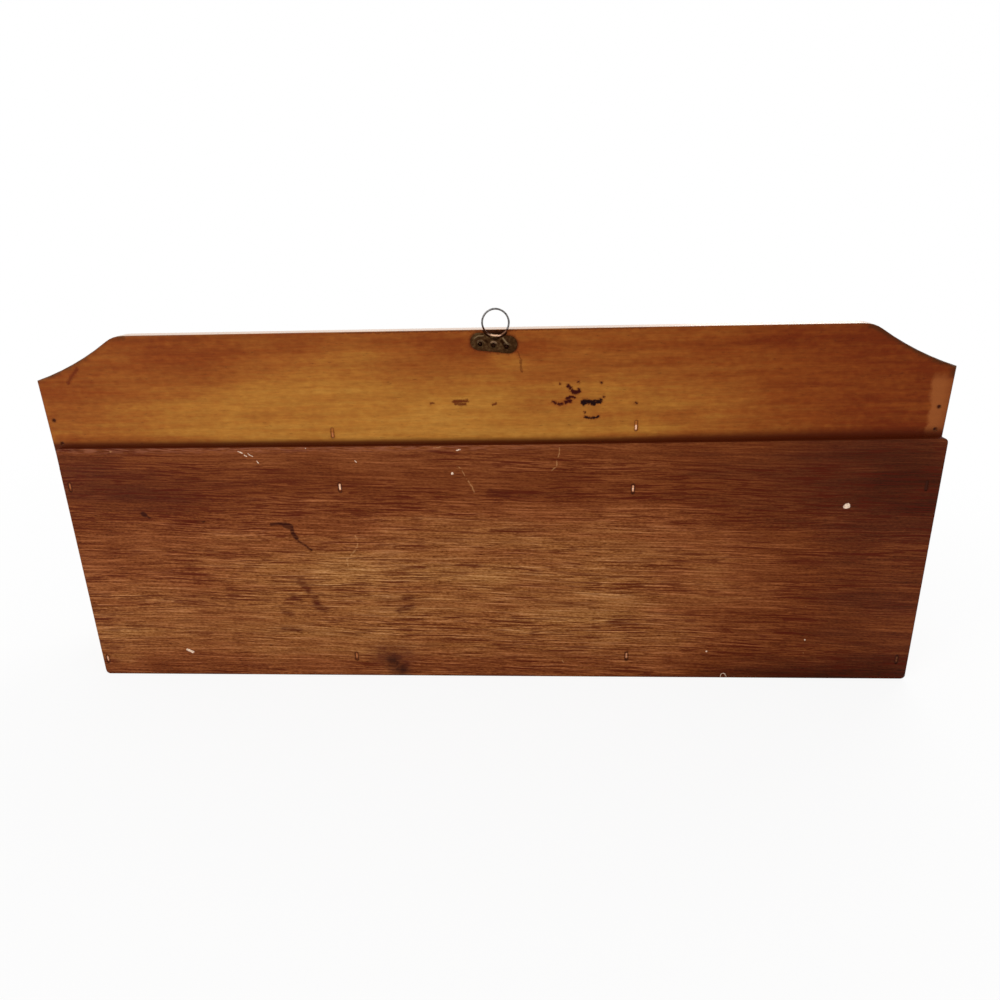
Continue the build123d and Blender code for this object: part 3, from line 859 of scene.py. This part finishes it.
def make_floor():
    """A wide white floor that keeps the object's shadow."""
    mesh = bpy.data.meshes.new("floor")
    half = FLOOR_HALF * MM
    corners = [(-half, -half, 0), (half, -half, 0), (half, half, 0), (-half, half, 0)]
    mesh.from_pydata(corners, [], [(0, 1, 2, 3)])
    floor = bpy.data.objects.new("floor", mesh)
    bpy.context.scene.collection.objects.link(floor)
    material = bpy.data.materials.new("floor_white")
    material.use_nodes = True
    tree = material.node_tree
    tree.nodes.clear()
    matte = tree.nodes.new("ShaderNodeBsdfDiffuse")
    matte.inputs["Color"].default_value = FLOOR_WHITE
    glow = tree.nodes.new("ShaderNodeEmission")
    seen = tree.nodes.new("ShaderNodeLightPath")
    place = tree.nodes.new("ShaderNodeTexCoord")
    away = tree.nodes.new("ShaderNodeVectorMath")
    away.operation = "LENGTH"
    fade = tree.nodes.new("ShaderNodeMapRange")
    for socket, value in zip(fade.inputs[1:5], (FLOOR_NEAR * MM, FLOOR_FAR * MM, FLOOR_GLOW, 1)):
        socket.default_value = value
    tree.links.new(place.outputs["Object"], away.inputs[0])
    tree.links.new(away.outputs["Value"], fade.inputs[0])
    whole = tree.nodes.new("ShaderNodeMath")
    whole.operation = "MULTIPLY"
    tree.links.new(fade.outputs[0], whole.inputs[1])
    mixed = tree.nodes.new("ShaderNodeMixShader")
    output = tree.nodes.new("ShaderNodeOutputMaterial")
    tree.links.new(seen.outputs["Is Camera Ray"], whole.inputs[0])
    tree.links.new(whole.outputs[0], mixed.inputs[0])
    tree.links.new(matte.outputs[0], mixed.inputs[1])
    tree.links.new(glow.outputs[0], mixed.inputs[2])
    tree.links.new(mixed.outputs[0], output.inputs[0])
    mesh.materials.append(material)


def make_world():
    """White where it is seen, directly or in a reflection, and a soft fill elsewhere."""
    world = bpy.data.worlds.new("studio")
    bpy.context.scene.world = world
    world.use_nodes = True
    tree = world.node_tree
    tree.nodes.clear()
    fill = tree.nodes.new("ShaderNodeBackground")
    white = tree.nodes.new("ShaderNodeBackground")
    for node in (fill, white):
        node.inputs["Color"].default_value = (1, 1, 1, 1)
    fill.inputs["Strength"].default_value = WORLD_FILL
    ray = tree.nodes.new("ShaderNodeLightPath")
    direct = tree.nodes.new("ShaderNodeMath")
    any_ray = tree.nodes.new("ShaderNodeMath")
    for node in (direct, any_ray):
        node.operation = "MAXIMUM"
    tree.links.new(ray.outputs["Is Camera Ray"], direct.inputs[0])
    tree.links.new(ray.outputs["Is Glossy Ray"], direct.inputs[1])
    tree.links.new(direct.outputs[0], any_ray.inputs[0])
    tree.links.new(ray.outputs["Is Transmission Ray"], any_ray.inputs[1])
    mixed = tree.nodes.new("ShaderNodeMixShader")
    output = tree.nodes.new("ShaderNodeOutputWorld")
    tree.links.new(any_ray.outputs[0], mixed.inputs[0])
    tree.links.new(fill.outputs[0], mixed.inputs[1])
    tree.links.new(white.outputs[0], mixed.inputs[2])
    tree.links.new(mixed.outputs[0], output.inputs[0])


def make_lamp(name, place, target, size, power):
    """A soft square lamp aimed at a target."""
    light = bpy.data.lights.new(name, "AREA")
    light.size = size * MM
    light.energy = power
    lamp = bpy.data.objects.new(name, light)
    lamp.location = Vector(place) * MM
    aim = Vector(target) * MM - lamp.location
    lamp.rotation_euler = aim.to_track_quat("-Z", "Y").to_euler()
    bpy.context.scene.collection.objects.link(lamp)


def make_camera():
    lens = bpy.data.cameras.new("camera")
    lens.lens = LENS
    lens.sensor_width = SENSOR
    lens.clip_start = 10 * MM
    camera = bpy.data.objects.new("camera", lens)
    camera.location = Vector(CAMERA_PLACE) * MM
    camera.rotation_euler = [radians(angle) for angle in CAMERA_TURN]
    bpy.context.scene.collection.objects.link(camera)
    bpy.context.scene.camera = camera


make_floor()
make_world()
for lamp_settings in LAMPS:
    make_lamp(*lamp_settings)
make_camera()
bpy.context.scene.view_settings.view_transform = "Standard"
